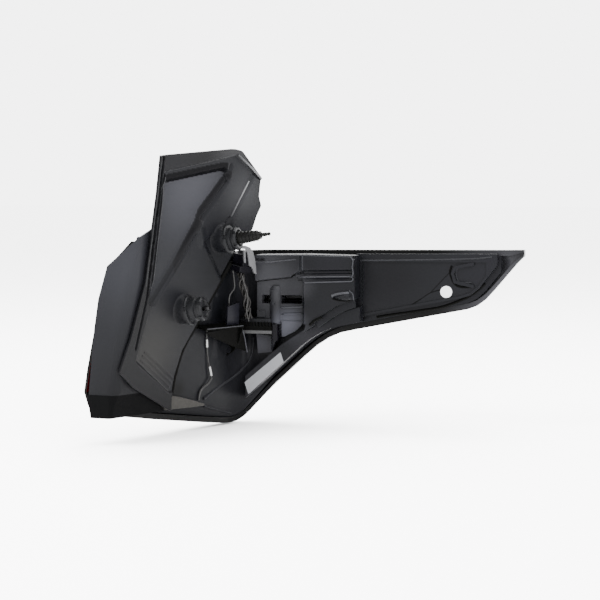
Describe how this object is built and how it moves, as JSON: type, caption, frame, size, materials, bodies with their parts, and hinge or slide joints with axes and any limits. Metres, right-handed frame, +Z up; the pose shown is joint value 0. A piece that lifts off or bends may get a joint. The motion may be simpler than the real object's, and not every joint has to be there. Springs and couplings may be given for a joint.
{
  "type": "tail light cluster",
  "caption": "Wrap-round tail light for the left rear corner of a car, with a lens shell, black housing, upright mounting panel, locating pin and wiring connector.",
  "frame": {"origin": "shoulder of the locating pin, where the thin pin leaves the ribbed barrel", "axes": "+X towards the front of the car, +Y outboard to the car's left, +Z up"},
  "size_m": [0.4493, 0.2809, 0.3349],
  "materials": {
    "lens": "smoked red moulded lens, glossy",
    "housing": "black moulded plastic, fine grain",
    "panel": "dark grey moulded plastic",
    "cover": "dark grey moulded plastic, fine grain",
    "bezel": "gloss black",
    "light_guide": "clear red",
    "reflex": "prismatic red",
    "board": "green solder mask",
    "led": "yellow phosphor",
    "grommet": "black rubber",
    "pin": "black nylon",
    "stud": "zinc-plated steel",
    "connector": "black connector plastic",
    "clip": "light grey plastic",
    "wire_dark": "dark wire insulation",
    "wire_pale": "pale wire insulation",
    "foam": "beige-grey open foam",
    "vent": "white breathing membrane",
    "label": "bare white label"
  },
  "bodies": {
    "root": {"outer_lens": "lens", "lamp_housing": "housing", "mounting_panel": "panel", "panel_gasket": "grommet", "side_cover": "cover", "inner_bezel": "bezel", "rear_light_guide": "light_guide", "side_light_guide": "light_guide", "reflex_reflector": "reflex", "rear_led_board": "board", "side_led_board": "board", "rear_leds": "led", "side_leds": "led", "upper_grommet": "grommet", "lower_grommet": "grommet", "locating_pin": "pin", "lower_stud": "stud", "wiring_connector": "connector", "connector_clip": "clip", "harness_wires": "wire_dark", "pale_leads": "wire_pale", "shelf_bracket": "housing", "contact_comb": "connector", "comb_strip": "clip", "tube_boss_clip": "clip", "drain_lead": "wire_pale", "foam_seal": "foam", "vent_membrane": "vent", "blank_label": "label"}
  },
  "joints": []
}
